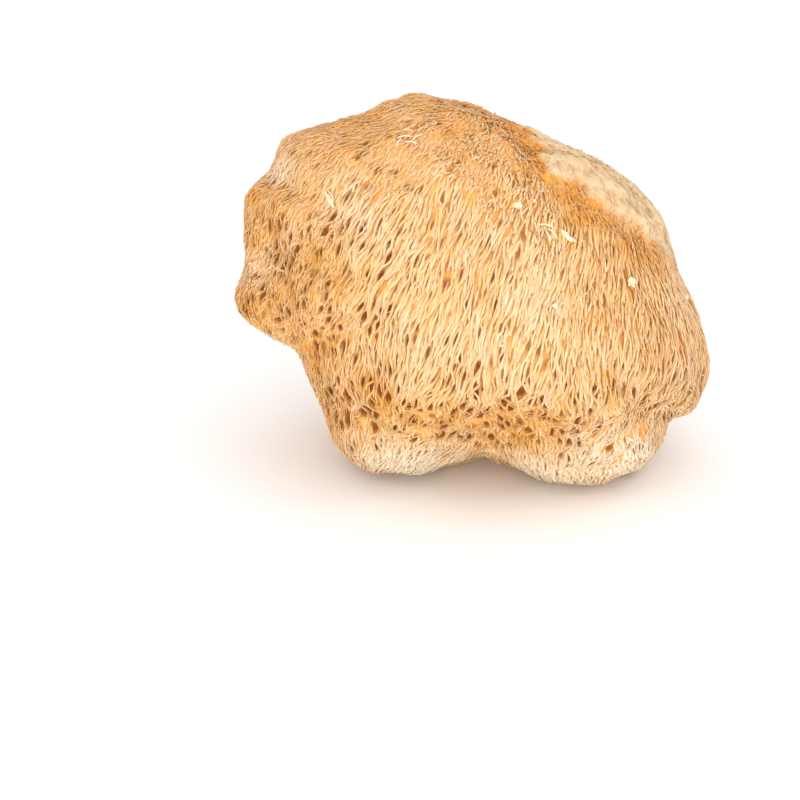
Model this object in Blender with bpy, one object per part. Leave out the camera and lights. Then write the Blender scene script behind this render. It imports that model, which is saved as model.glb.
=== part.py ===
"""A dried lion's mane mushroom: one head, grown and dried as one piece.

A lumpy body carries spines that all hang away from one point above its crown and lie close
along it. The crown's right side is bare felt, and the underside ends in a cut foot to rest on.
X runs to the viewer's right, Y away from the viewer and Z up. The origin is on the cut foot.
"""

import math

import bmesh
import bpy
import numpy as np
from mathutils.bvhtree import BVHTree

MM = 0.001

# The body, seen by a viewer who looks down on it by VIEW_TILT
VIEW_TILT = math.radians(18)
CENTRE = np.array((-4.0, -5.0, 32.0)) * MM
DEPTH_TO_VIEWER = 33.0 * MM
DEPTH_BEHIND = 34.0 * MM
DEPTH_BLEND = 0.3
FULLNESS = 2.2
SPINE_LAYER = 2.4 * MM

# The outline that this viewer sees, as turns about the centre in degrees and reaches in mm
OUTLINE = (
    (5, 38.5), (20, 36.5), (35, 35), (49, 32.5), (62, 31), (74, 31.5), (86, 33), (99, 35.5),
    (108, 37.5), (121, 38), (130, 39.5), (141, 43), (151, 42), (157, 44), (172, 41), (185, 43),
    (192, 38.5), (200, 34), (218, 35), (232, 38), (241, 37.5), (256, 34), (271, 30.5),
    (281, 31.5), (299, 40), (316, 45), (328, 43.5), (334, 46), (345, 44.5), (357, 40.5),
)

# Folds in the side that faces the viewer: a line of points (right, up) in mm from the centre,
# then the fold's depth and half width in mm
FOLDS = (
    (((-32.5, -12), (-34.5, -4), (-34, 6)), 2.6, 2.6),
    (((-24, -20.5), (-8, -24), (9, -22.5), (25, -24.5), (41, -17.5)), 1.9, 2.6),
    (((5, 31), (16, 19.5), (24, 12), (34, 7.5)), 1.4, 2.2),
)
FOLDS_FADE = 0.35

# Low swells all over the body, as waves of this height and length
SWELLS = 0.9 * MM
SWELL_LENGTH = 15.0 * MM

# The heel fills the underside behind the viewer's outline, and the cut foot is its flat end
HEEL_SWELL = 6.0 * MM
HEEL_WAY = (0.0, 0.3, -0.95)
HEEL_SPREAD = 0.38
FOOT_LEVEL = 0.01 * MM

# The bare felt lies behind its edge fold, over the crown's right shoulder
FELT_MIDDLE = (0.72, 0.19, 0.67)
FELT_SPREAD = math.radians(34)
FELT_THICKNESS = 2.0 * MM
FELT_RIM = (0.8, 1.1)

# The spines: how many skin points they stand between, and how each one lies
SKIN_POINTS = 2080
UNEVENNESS = 0.22
HANG_FROM = CENTRE + np.array((26.0, 27.6, 68.8)) * MM
SPINE_LENGTH = 6.8 * MM
LENGTH_VARIES = 0.2
SHARE_UNDERNEATH = 0.45
UNDERNEATH = -0.7
RISE = 0.37
SPRAY = math.radians(3)
SPLAY_BELOW = 9.0 * MM
ALL_SPLAYED_BELOW = 2.2 * MM
TIP_OFF_FLOOR = 0.5 * MM
SHORTEN = 0.82
MOST_ROUNDS = 40
SEED = 7

NORMAL_STEP = 0.01
RIGHT = np.array((1.0, 0.0, 0.0))
UPWARD = np.array((0.0, math.sin(VIEW_TILT), math.cos(VIEW_TILT)))
TO_VIEWER = np.array((0.0, -math.cos(VIEW_TILT), math.sin(VIEW_TILT)))


def unit(vectors):
    return vectors / np.linalg.norm(vectors, axis=-1, keepdims=True)


def smoothstep(low, high, value):
    share = np.clip((value - low) / (high - low), 0.0, 1.0)
    return share * share * (3.0 - 2.0 * share)


def angle_from(ways, middle):
    return np.arccos(np.clip(ways @ unit(np.array(middle)), -1.0, 1.0))


def outline_reach(turn):
    """The body's reach at each turn in the viewer's plane, on a smooth curve in the outline."""
    turns, reaches = (np.array(column, float) for column in zip(*OUTLINE))
    turn = np.mod(np.degrees(turn) - turns[0], 360.0) + turns[0]
    ahead = np.searchsorted(turns, turn, side="right")
    index = (ahead + np.array([[-2], [-1], [0], [1]])) % len(turns)
    t0, t1, t2, t3 = (turns[i] for i in index)
    r0, r1, r2, r3 = (reaches[i] for i in index)
    span = np.mod(t2 - t1, 360.0)
    slope_1 = (r2 - r0) / np.mod(t2 - t0, 360.0) * span
    slope_2 = (r3 - r1) / np.mod(t3 - t1, 360.0) * span
    s = (turn - t1) / span
    rise = s * s * (3.0 - 2.0 * s)
    reach = r1 + (r2 - r1) * rise + slope_1 * s * (1.0 - s) ** 2 - slope_2 * s * s * (1.0 - s)
    return reach * MM - SPINE_LAYER


def line_distance(places, line):
    """How far each place in the viewer's plane is from a line of points."""
    nearest = np.full(len(places), np.inf)
    for start, end in zip(line, line[1:]):
        start, along = np.array(start) * MM, (np.array(end) - np.array(start)) * MM
        share = np.clip((places - start) @ along / (along @ along), 0.0, 1.0)
        gap = np.linalg.norm(places - start - share[:, None] * along, axis=1)
        nearest = np.minimum(nearest, gap)
    return nearest


def body_points(ways):
    """Where a ray from the centre along each unit way leaves the body."""
    across, up, near = ways @ RIGHT, ways @ UPWARD, ways @ TO_VIEWER
    flat = np.hypot(across, up)
    facing = smoothstep(-DEPTH_BLEND, DEPTH_BLEND, near)
    depth = DEPTH_BEHIND + (DEPTH_TO_VIEWER - DEPTH_BEHIND) * facing
    outline = outline_reach(np.arctan2(up, across))
    reach = ((flat / outline) ** FULLNESS + (np.abs(near) / depth) ** FULLNESS) ** (-1 / FULLNESS)
    places = np.stack((across * reach, up * reach), axis=1)
    for line, fold_depth, half_width in FOLDS:
        gap = line_distance(places, line) / (half_width * MM)
        reach = reach - fold_depth * MM * np.exp(-gap * gap) * smoothstep(0.0, FOLDS_FADE, near)
    x, y, z = (ways * reach[:, None] / SWELL_LENGTH * math.tau).T
    reach = reach + SWELLS * np.sin(x + 0.6 * z) * np.sin(y + 1.0) * np.sin(0.8 * z + 0.5 * x)
    heel = angle_from(ways, HEEL_WAY) / HEEL_SPREAD
    reach = reach + HEEL_SWELL * np.exp(-heel * heel)
    felt = angle_from(ways, FELT_MIDDLE) / FELT_SPREAD
    reach = reach + FELT_THICKNESS * (1.0 - smoothstep(*FELT_RIM, felt))
    to_floor = CENTRE[2] / np.maximum(-ways[:, 2], 1e-6)
    return CENTRE + ways * np.minimum(reach, to_floor)[:, None]


def body_normals(ways):
    """Outward unit normals, from points a little to each side."""
    side = unit(np.cross(ways, np.where(np.abs(ways[:, 2:]) < 0.9, (0.0, 0.0, 1.0), RIGHT)))
    side_step, rise_step = NORMAL_STEP * side, NORMAL_STEP * np.cross(ways, side)
    across = body_points(unit(ways + side_step)) - body_points(unit(ways - side_step))
    along = body_points(unit(ways + rise_step)) - body_points(unit(ways - rise_step))
    normals = unit(np.cross(across, along))
    return normals * np.sign(np.sum(normals * ways, axis=1, keepdims=True))


def hang(points, normals):
    """The way in which spines lie at each point: away from HANG_FROM, and outward by the floor."""
    away = unit(points - HANG_FROM)
    outward = points * (1.0, 1.0, 0.0) / (np.linalg.norm(points[:, :2], axis=1, keepdims=True) + MM)
    splay = 1.0 - smoothstep(ALL_SPLAYED_BELOW, SPLAY_BELOW, points[:, 2:])
    way = away * (1.0 - splay) + outward * splay
    return unit(way - np.sum(way * normals, axis=1, keepdims=True) * normals)


def spread_ways():
    """Unit ways spread evenly over a sphere on a spiral, then moved a little at random."""
    draw = np.random.default_rng(SEED)
    index = np.arange(SKIN_POINTS) + 0.5
    height = 1.0 - 2.0 * index / SKIN_POINTS
    turn = math.pi * (1.0 + math.sqrt(5.0)) * index
    level = np.sqrt(1.0 - height * height)
    ways = np.stack((level * np.cos(turn), level * np.sin(turn), height), axis=1)
    spacing = math.sqrt(4.0 * math.pi / SKIN_POINTS)
    return unit(ways + draw.normal(0.0, UNEVENNESS * spacing, ways.shape))


def build_skin():
    """The body's closed skin as triangles between spread points."""
    skin = bmesh.new()
    for way in spread_ways():
        skin.verts.new(way)
    bmesh.ops.convex_hull(skin, input=skin.verts)
    ways = np.array([vert.co for vert in skin.verts])
    for vert, point in zip(skin.verts, body_points(unit(ways))):
        vert.co = point
    bmesh.ops.recalc_face_normals(skin, faces=skin.faces)
    return skin


def is_bare(face):
    """Whether a face of the skin belongs to the cut foot or the felt, which carry no spine."""
    if all(vert.co.z < FOOT_LEVEL for vert in face.verts):
        return True
    middle = np.array(face.calc_center_median()) - CENTRE
    return angle_from(unit(middle), FELT_MIDDLE) < FELT_SPREAD


def raise_spines(skin):
    """Raises one three-sided spine on each face that isn't bare. Returns each tip's root."""
    draw = np.random.default_rng(SEED)
    faces = [face for face in skin.faces if not is_bare(face)]
    tips = bmesh.ops.poke(skin, faces=faces)["verts"]
    roots = {tip: tip.co.copy() for tip in tips}
    ways = unit(np.array([tip.co for tip in tips]) - CENTRE)
    points, normals = body_points(ways), body_normals(ways)
    lie = hang(points, normals)
    swing = draw.normal(0.0, SPRAY, (len(tips), 1))
    lie = lie * np.cos(swing) + np.cross(normals, lie) * np.sin(swing)
    length = SPINE_LENGTH * (1.0 + draw.uniform(-LENGTH_VARIES, LENGTH_VARIES, (len(tips), 1)))
    underneath = smoothstep(0.0, -UNDERNEATH, -normals[:, 2:])
    length = length * (1.0 - (1.0 - SHARE_UNDERNEATH) * underneath)
    ways = unit(points + lie * length - CENTRE)
    ends = body_points(ways) + body_normals(ways) * length * RISE
    for tip, end in zip(tips, ends):
        tip.co = end
        tip.co.z = max(tip.co.z, TIP_OFF_FLOOR)
    return roots


def clear_crossings(skin, roots):
    """Shortens the spines that cut through each other until none do."""
    for _ in range(MOST_ROUNDS):
        skin.faces.ensure_lookup_table()
        tree = BVHTree.FromBMesh(skin)
        crossing = {index for pair in tree.overlap(tree) for index in pair}
        touched = {vert for index in crossing for vert in skin.faces[index].verts} & roots.keys()
        if not touched:
            return
        for tip in touched:
            tip.co = roots[tip].lerp(tip.co, SHORTEN)


def build_head():
    skin = build_skin()
    roots = raise_spines(skin)
    clear_crossings(skin, roots)
    mesh = bpy.data.meshes.new("fruit_body")
    skin.to_mesh(mesh)
    skin.free()
    head = bpy.data.objects.new("fruit_body", mesh)
    bpy.context.collection.objects.link(head)
    return head


def dried_flesh():
    material = bpy.data.materials.new("dried_flesh")
    material.use_nodes = True
    shader = material.node_tree.nodes["Principled BSDF"]
    shader.inputs["Base Color"].default_value = (0.86, 0.58, 0.27, 1.0)
    shader.inputs["Roughness"].default_value = 0.85
    shader.inputs["Metallic"].default_value = 0.0
    return material


def main():
    for old in list(bpy.data.objects):
        bpy.data.objects.remove(old)
    head = build_head()
    head.data.materials.append(dried_flesh())


main()
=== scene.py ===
"""The looks of a dried lion's mane mushroom: its flesh, its fine spines, felt and crumbs.

The body follows the solid's formula, with a thinner spine layer, and an outline, folds and felt
edge set to suit. The spines are fine strands along it, which part round openings to the flesh.
"""

import math

import bmesh
import bpy
import numpy as np
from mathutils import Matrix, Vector
from mathutils.kdtree import KDTree


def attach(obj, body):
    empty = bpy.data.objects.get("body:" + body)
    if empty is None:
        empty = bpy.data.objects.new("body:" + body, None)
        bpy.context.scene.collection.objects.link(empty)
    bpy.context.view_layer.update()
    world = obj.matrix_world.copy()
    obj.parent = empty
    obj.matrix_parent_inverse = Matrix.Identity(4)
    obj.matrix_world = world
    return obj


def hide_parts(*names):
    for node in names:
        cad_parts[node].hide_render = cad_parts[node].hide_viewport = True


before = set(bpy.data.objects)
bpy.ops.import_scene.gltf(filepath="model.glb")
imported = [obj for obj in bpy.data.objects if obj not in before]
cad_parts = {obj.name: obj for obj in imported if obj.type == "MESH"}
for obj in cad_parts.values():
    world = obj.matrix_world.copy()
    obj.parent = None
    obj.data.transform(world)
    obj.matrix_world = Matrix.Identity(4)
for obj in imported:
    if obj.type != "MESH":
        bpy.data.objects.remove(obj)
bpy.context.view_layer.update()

MM = 0.001
SEED = 11

# The body, for a viewer who looks down on it by VIEW_TILT
VIEW_TILT = math.radians(18)
RIGHT = np.array((1.0, 0.0, 0.0))
UPWARD = np.array((0.0, math.sin(VIEW_TILT), math.cos(VIEW_TILT)))
TO_VIEWER = np.array((0.0, -math.cos(VIEW_TILT), math.sin(VIEW_TILT)))
CENTRE = np.array((-4.0, -5.0, 32.0)) * MM
DEPTH_TO_VIEWER = 33.0 * MM
DEPTH_BEHIND = 34.0 * MM
DEPTH_BLEND = 0.3
FULLNESS = 2.2
SPINE_LAYER = 1.5 * MM

# The outline that this viewer sees, as turns about the centre in degrees and reaches in mm
OUTLINE = (
    (5, 38.5), (20, 36.3), (35, 34.6), (49, 32.2), (62, 31), (74, 31.5), (86, 33), (99, 35.5),
    (108, 37.5), (121, 38), (130, 39.7), (141, 43.6), (151, 43), (157, 44.7), (172, 41.7),
    (185, 42.6), (192, 38.5), (200, 34), (218, 35), (232, 38), (241, 37.5), (256, 34), (271, 30.5),
    (281, 31.5), (299, 40), (316, 45), (328, 43.5), (334, 46), (345, 44.5), (357, 40.5),
)

# Folds in the side that faces the viewer: lines of places (right, up) in mm from the centre, then
# each fold's depth and half width in mm
LOBE_EDGE = ((-32.5, -12), (-34.5, -4), (-34, 6))
LOWER_TUCK = ((-24, -20.5), (-8, -24), (9, -22.5), (25, -24.5), (41, -17.5))
FELT_EDGE = ((8.5, 23.8), (12, 19.9), (15.9, 17), (19.5, 14.1), (23.1, 12.7), (31, 9))
FOLDS = (
    (LOBE_EDGE, 2.0, 3.4),
    (LOWER_TUCK, 0.9, 4.0),
    (FELT_EDGE, 0.9, 2.0),
)
FOLDS_FADE = 0.35

# Low swells all over the body, as waves of this height and length
SWELLS = 0.7 * MM
SWELL_LENGTH = 15.0 * MM

# The heel fills the underside behind the viewer's outline, and the cut foot is its flat end
HEEL_SWELL = 6.0 * MM
HEEL_WAY = (0.0, 0.3, -0.95)
HEEL_SPREAD = 0.38

# The bare felt over the crown's right shoulder. Its share is 0 in its middle and 1 at its edge
FELT_MIDDLE = (0.72, 0.19, 0.67)
FELT_SPREAD = math.radians(34)
FELT_THICKNESS = 1.0 * MM
FELT_RIM = (0.78, 1.08)

# The felt's edge as the viewer sees it, in mm from the centre, how ragged it is, and how far above
# it the share gets to 0
SEEN_FELT_EDGE = (
    (-5, 62), (5, 37), (10.1, 27.7), (13.4, 23.4), (18, 18.9), (22, 15.8), (25.7, 14.6),
    (28.6, 12.1), (32, 9.5), (38, 4),
)
RAGGED_EDGE = 1.1
RAGGED_EDGE_LENGTH = 6.0 * MM
FELT_SHARE_WIDTH = 26.0

# The spines hang away from this point. Lower on the body it rises, so that they hang plumb there,
# and by the floor they splay outward
HANG_FROM = CENTRE + np.array((26.0, 27.6, 68.8)) * MM
PLUMB = 90.0 * MM
PLUMB_FROM = 46.0 * MM
PLUMB_BELOW = 12.0 * MM
SPLAY_BELOW = 3.5 * MM
ALL_SPLAYED_BELOW = 0.8 * MM

# The step to each side that normals are worked out with, in radians
NORMAL_STEP = 0.01

# The flesh under the spines
FLESH_FINENESS = 7
FLESH_UNDER_SPINES = 0.03 * MM
FLESH_RISES_WHERE_MATTED = 0.09 * MM
FLESH_SHADE_SPREADS = 0.5 * MM
FOOT_FADE = (0.02 * MM, 0.6 * MM)
FELT_FADE = (1.05, 1.35)
FELT_GRAIN = 0.16 * MM
FELT_GRAIN_LENGTH = 1.7 * MM
FELT_SWELL_LENGTH = 5.0 * MM
FELT_WAVES = 24

# The spines: how many roots are tried, and the share of them kept where the spines lie combed
ROOTS_TRIED = 62500
KEPT_WHERE_COMBED = 0.65
ROOTS_FROM_FELT = (0.86, 1.08)
ROOTS_ABOVE = 0.05 * MM
SPINE_LENGTH = 4.6 * MM
LENGTH_VARIES = 0.35
SPINE_RADIUS = 0.17 * MM
THIN_RADIUS = 0.1 * MM
FLATNESS = 0.75
RADIUS_VARIES = 0.22
RADIUS_GROWS = 0.7
TIP_HEIGHT = 0.85 * MM
OWN_HEIGHTS = (0.55, 1.05)
RISE_POWER = 1.6
WEAVE = 0.12 * MM
ROOT_DEPTH = 0.3 * MM
TAPER = (1.0, 1.0, 1.0, 0.9, 0.55)
TIP_RADII = 1.5
STRAND_SHADE_SPREADS = 0.25 * MM
RINGS = len(TAPER) - 1
SIDES = 3

# Spines are this share of their length and height at the felt's edge, and full from this far out
GROWN = (0.9, 1.22)
SHORT_AT_FELT = 0.35

# By what share spines are shorter, lower or thinner where they are matted, end on or underneath, and how
# much deeper the painted shade on matted spines is
MAT_SHORTENS = 0.38
MAT_LOWERS = 0.4
MAT_THINS = 0.1
MAT_DEEPENS_SHADE = 0.22
END_ON_SHORTENS = 0.3
END_ON_RAISES = 0.35
UNDERSIDE = (0.0, 0.7)
UNDERSIDE_SHORTENS = 0.35
CROWN_SLANTS = (0.05, 0.45)
CROWN_SHORTENS = 0.5
SPINE_PIECES = 7
OFF_FLOOR = 0.35 * MM

# How the spines stray from hanging straight
WANDER = math.radians(6)
WANDER_LENGTH = 16.0 * MM
SWAY = 0.4 * WANDER
SWAY_LENGTH = 5.0 * MM
STRAY = math.radians(7)
WAVE = math.radians(5)
TANGLE = math.radians(40)
TANGLE_LENGTH = 4.5 * MM

# How much more they stray and wave, as shares, and their turns in radians from root to tip
TANGLE_STRAYS = 1.2
MAT_STRAYS = 0.9
TANGLE_WAVES = 1.5
MAT_WAVES = 0.8
WAVE_TURN = 4.0
WEAVE_TURN = 6.0

# The fine fibres on the felt
FUZZ_TRIED = 22000
FUZZ_UP_TO_FELT = (1.0, 1.35)
FUZZ_LENGTH = 2.0 * MM
FUZZ_LENGTHS = (0.6, 1.4)
FUZZ_HEIGHT = 0.2 * MM
FUZZ_HEIGHTS = (0.2, 1.2)
FUZZ_RADIUS = 0.1 * MM
FUZZ_RADII = (0.6, 1.1)
FUZZ_STRAY = math.radians(35)
FUZZ_ROOT_DEPTH = 0.15 * MM
FUZZ_TAPER = (1.0, 1.0, 0.9, 0.5)

# The strips on the spines' maps: their height over width, and what a tube fills of one
STRIP_SHAPE = 4
STRIP_FILL = (0.8, 0.9)
STRIP_MARGIN = (0.1, 0.04)

# The openings between the spines: an opening of size 1, and how their sizes and lengths vary
OPENINGS = 3600
OPENING_HALF_WIDTH = 0.3 * MM
OPENING_HALF_LENGTH = 0.8 * MM
OPENING_SIZES = (0.6, 1.2)
OPENING_STRETCHES = (0.7, 1.35)
TANGLE_WIDENS = 1.9
END_ON_WIDENS = 0.5
MAT_WIDENS = 0.5
COARSE_WIDENS = 1.3
MAT_ROUNDS = 0.3
PALE_NARROWS = 0.4
NARROW_AT_FELT = 0.6
OPEN_FROM_FELT = 1.02
WIDE_FROM_FELT = (1.0, 1.3)

# Where they are coarse or fewer, as places in mm from the centre, and how much fewer
COARSE_TO_LEFT = (-6.0, -18.0)
COARSE_BELOW = (20.0, 8.0)
FEWER_ABOVE = (8.0, 18.0)
FEWER_ON_TOP = 0.45
FEWER_WHERE_PALE = 0.8

# An opening's painted shade: the half widths between which it deepens, and its reach in half lengths
SHADED_WIDTHS = (0.08 * MM, 0.5 * MM)
SHADE_LENGTH = 1.3

# How many ways from the centre are searched for the one that the camera sees at a place
WAYS_SEARCHED = 60000

# Soft spots on the side that the viewer sees: the stains, some of them painted shade, the pale patches,
# some of them painted light, and where spines curl or stand out. Each has its place in the view in mm
# from the centre, right and up, its half sizes across and up in mm, and its strength
# Stained spots; those low on the left lobe's edge are painted shade
STAINED_AND_SHADED = (
    (2, 32, 14, 3.5, 0.45), (9, 29, 4.5, 4, 0.7), (-20, 31, 9, 3.5, 0.5), (-37, 13, 5, 7, 0.6),
    (12, 24, 4, 5, 1.0), (20, 15, 6, 4.5, 0.8), (29, 8, 6, 4.5, 0.55), (25, -1, 7, 9, 0.4),
    (34, -9, 5, 8, 0.35), (25, -16.5, 1.6, 3.4, 1.0), (8, -26, 15, 4.5, 1.0),
    (-14, -22, 12, 4, 0.8), (-21, -30, 5, 3, 0.9), (-18, -21, 11, 8, 0.8), (-26, 1, 9, 14, 0.65),
    (-38, -4, 7, 9, 0.5), (2, 10, 8, 5, 0.2), (13, -24, 13, 5.5, 1.0), (-5, -25, 9, 4, 1.0),
    (-27, -9, 6, 8, 0.75), (-37.5, 17.5, 3.5, 3.5, 0.85), (-35.5, 11.5, 2.5, 4.5, 0.8),
    (-25, 29.8, 7, 1.8, 0.7), (-4, 29.3, 5, 2.2, 0.75), (-23, 3, 3, 5, 0.6),
    (-35.5, -3, 3, 4, 0.7),
)
# Pale spots; the low ones along the bottom are also painted light that brightens the underside
PALE_AND_LIT_SPOTS = (
    (12, 1, 6, 10, 0.12), (-34.5, 21.5, 2.6, 2.6, 0.7), (-22, 15, 6, 3, 0.35),
    (28, -30, 11, 6.5, 1.0), (-9, -31.5, 13, 5, 1.0), (10, -34, 16, 4.5, 1.0),
    (38, 3, 4, 6, 0.45), (7.4, -0.4, 1.6, 1.6, 0.8), (4.5, 10, 1.4, 1.8, 0.6),
    (-38, 3.5, 3, 2.5, 0.45), (-22, 19.5, 4, 2, 0.35),
)
CURLED = (28, -30, 9, 4.5, 1.0)
END_ON = (-37, 1, 9, 14, 1.0)

# Soft patches all over: how long they are, and the field's values between which they come in
STAIN_LENGTH = 22.0 * MM
STAIN_COMES_IN = (0.5, 1.9)
PALE_LENGTH = 18.0 * MM
PALE_COMES_IN = (0.7, 2.2)
MAT_LENGTH = 24.0 * MM
MAT_COMES_IN = (0.2, 1.4)
BAND_LENGTH = 20.0 * MM
BAND_COMES_IN = (-0.6, 0.8)

# The stained rim along the felt, as shares of felt, and how far right it gets weaker
RIM_MIDDLE = 1.08
RIM_WIDTH = 0.09
RIM_FADES = (22.0 * MM, 29.0 * MM)
STAIN_FROM_FELT = (0.93, 1.05)

# The matted spines: above and to the left of these places in mm, with ragged edges
MATTED_ABOVE = (13.0, 25.0)
MATTED_TO_LEFT = (-15.0, -30.0)
MAT_EDGE = 2.0
MAT_EDGE_LENGTH = 9.0 * MM

# The tangled spines: how wide they are along the folds, and the low band's height in mm
TUCK_TANGLE_WIDTH = 5.0 * MM
LOBE_TANGLE_WIDTH = 3.0 * MM
BAND_MIDDLE = 11
BAND_WIDTH = 5

# A number for each random field, which sets its pattern
STAIN_FIELD, PALE_FIELD, BAND_FIELD = 21, 22, 23
MAT_TOP_FIELD, MAT_LEFT_FIELD, MAT_FIELD = 24, 25, 26
WANDER_FIELD, SWAY_FIELD, TANGLE_FIELD = 31, 32, 33
FELT_EDGE_FIELD, FELT_GRAIN_FIELD, FELT_SWELL_FIELD = 34, 41, 42
CRUMB_FIELD, CRUMB_GRAIN_FIELD = 60, 80

# Openings that stand out to the viewer: place in the view, half width and half length in mm
SEEN_OPENINGS = (
    (1.3, -13.9, 0.9, 0.6), (1.1, -16.9, 0.75, 0.6), (1.4, -18.4, 0.8, 0.7), (9, -18.5, 0.95, 1),
    (10.6, -16.2, 0.5, 0.7), (22.5, -17.3, 0.9, 0.6), (19.3, -23.8, 0.7, 1), (13.5, -20.9, 0.6, 0.5),
    (13.9, -23.2, 1, 0.7), (-10.6, -23.9, 0.5, 1.1), (-11.7, -20.5, 0.6, 0.6), (-9, -22.1, 0.5, 0.6),
    (-5, -26.5, 0.7, 1), (-1.6, -26.8, 0.8, 0.6), (3.8, -26.8, 0.8, 0.8), (7.4, -28.1, 0.6, 0.6),
    (5.8, -21.4, 0.5, 0.6), (14.8, -13.1, 0.5, 1), (5.8, -11.7, 0.5, 0.8), (5.4, -9.7, 0.35, 0.5),
    (25.7, -16.4, 0.45, 2.6), (27.5, -14, 0.35, 1.2), (-1.8, -12.6, 0.45, 0.7), (-7.6, -11.5, 0.4, 1),
    (-1.1, -15.8, 0.4, 0.9), (-4.1, -16.7, 0.4, 0.9), (-25.7, -5.8, 0.5, 1), (-27.4, -3.6, 0.5, 0.8),
    (-30.2, 0, 0.45, 0.7), (-36.5, 5.9, 0.5, 0.5), (-16.6, -4, 0.4, 0.8), (-9.7, -6.5, 0.4, 0.8),
    (-11.2, -9.2, 0.5, 0.8), (-17.1, -8.6, 0.4, 0.8), (-20.9, -12.4, 0.5, 0.7), (-18.4, -16.2, 0.5, 0.8),
    (-22.9, -22.3, 0.6, 0.7), (-27.7, -18, 0.5, 0.8), (-25.6, 9, 0.4, 1.2), (-28.6, 6.7, 0.4, 0.9),
    (-34, 2.5, 0.4, 0.8), (-39.4, 12.1, 0.5, 0.5), (-29.9, 10.8, 0.4, 0.8), (-22.9, 16.4, 0.4, 1),
    (-22.7, 11.7, 0.4, 0.9), (-0.9, -2, 0.4, 0.8), (4.3, -2.2, 0.4, 1.2), (3.8, 2.3, 0.4, 0.9),
    (7.2, 2, 0.35, 1.2), (-10.4, 2.2, 0.4, 0.8), (-4.7, 1.4, 0.4, 0.8), (-2, 3.1, 0.4, 0.9),
    (3.2, 9.4, 0.35, 0.8), (1.8, -7.2, 0.4, 0.9), (5.9, -6.8, 0.4, 0.8), (-4.5, -9, 0.4, 0.8),
    (20.3, 15.6, 0.45, 0.8), (19, 16.7, 0.4, 0.6), (22.4, 14.5, 0.4, 0.5), (24.4, 13.1, 0.35, 0.6),
    (16.6, 18, 0.5, 0.6), (9.2, 25.4, 0.5, 0.6), (-33.5, 17, 0.4, 0.6), (-17, 22, 0.4, 0.8),
    (8.1, -24.4, 0.7, 0.5), (1.6, -28.1, 0.6, 0.6), (10.4, -25.6, 0.9, 0.6), (10.8, -22.5, 0.5, 0.6),
    (3.2, -24.6, 0.5, 0.6), (2.2, -20.9, 0.4, 0.4), (3, -22.4, 0.4, 0.5), (16.1, -27.4, 0.5, 0.6),
    (19.8, -26.7, 0.4, 0.4), (-8.3, -24.6, 0.5, 0.5), (-5, -24, 0.5, 0.7), (-12.4, -23.2, 0.4, 0.6),
    (-12.5, -25.9, 0.5, 0.6), (15.3, -15.1, 0.4, 0.6), (16.9, -13.9, 0.3, 0.5), (19.8, -18.7, 0.4, 0.5),
)

# Crumbs of pale flesh on the spines: place in the view, half length and half width in mm, and turn
# in degrees
CRUMBS = (
    (7.9, 15.3, 0.75, 0.6, 20), (17.4, 9.7, 1.5, 0.42, -35), (28.6, 2.0, 0.85, 0.75, 60),
    (-25.7, 15.9, 1.3, 0.4, -50), (38.5, -0.8, 0.5, 0.35, 80), (11.0, 16.0, 0.3, 0.25, 0),
    (15.2, -2.2, 0.5, 0.4, 30), (5.5, -9.5, 0.3, 0.25, 0),
)
CRUMB_HEIGHT = 0.8 * MM
CRUMB_THICKNESS = 0.8

# Pale loose fibres: place in the view, length in mm, and turn in degrees from the viewer's right
LOOSE_FIBRES = (
    (13.0, 11.6, 2.4, -5), (14.4, 12.0, 1.7, 70), (14.6, 10.4, 2.2, -50), (13.4, 9.8, 2.0, -75),
    (-12.4, 27.4, 2.6, 15), (-11.2, 26.2, 2.2, -25), (-10.0, 27.2, 2.0, 50), (-13.4, 26.2, 1.8, 80),
    (-11.8, 28.4, 1.6, -10), (-25.2, 16.6, 2.4, -50),
)
FIBRE_HEIGHT = 1.0 * MM
FIBRE_BOW = 0.35 * MM
FIBRE_RADII = (0.09, 0.13)
FIBRE_TAPER = (0.5, 0.9, 1.0, 0.9, 0.5)
FIBRE_SIDES = 6

# The camera, and where in its picture the body's centre falls
CAMERA_DISTANCE = 0.4
FRAME_WIDTH = 0.144
FRAME_PIXELS = 800
PIXEL = FRAME_WIDTH / FRAME_PIXELS
CENTRE_PIXEL = (470, 290)

# The floor and the lights: each light's name, place, size in metres and power in watts
FLOOR_HALF = 4.0
FLOOR_SHADE = 0.95
SKY_STRENGTH = 1.05
LIGHTS = (
    ("key", (0.2, -0.4, 0.5), 0.7, 0.85),
    ("fill", (-0.05, -0.5, 0.04), 0.4, 2.4),
)


def unit(vectors):
    return vectors / np.linalg.norm(vectors, axis=-1, keepdims=True)


def smoothstep(low, high, value):
    share = np.clip((value - low) / (high - low), 0.0, 1.0)
    return share * share * (3.0 - 2.0 * share)


def angle_from(ways, middle):
    return np.arccos(np.clip(ways @ unit(np.array(middle)), -1.0, 1.0))


def outline_reach(turn):
    """The body's reach at each turn in the viewer's plane, on a smooth curve in the outline."""
    turns, reaches = (np.array(column, float) for column in zip(*OUTLINE))
    turn = np.mod(np.degrees(turn) - turns[0], 360.0) + turns[0]
    ahead = np.searchsorted(turns, turn, side="right")
    index = (ahead + np.array([[-2], [-1], [0], [1]])) % len(turns)
    t0, t1, t2, t3 = (turns[i] for i in index)
    r0, r1, r2, r3 = (reaches[i] for i in index)
    span = np.mod(t2 - t1, 360.0)
    slope_1 = (r2 - r0) / np.mod(t2 - t0, 360.0) * span
    slope_2 = (r3 - r1) / np.mod(t3 - t1, 360.0) * span
    s = (turn - t1) / span
    rise = s * s * (3.0 - 2.0 * s)
    reach = r1 + (r2 - r1) * rise + slope_1 * s * (1.0 - s) ** 2 - slope_2 * s * s * (1.0 - s)
    return reach * MM - SPINE_LAYER


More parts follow.
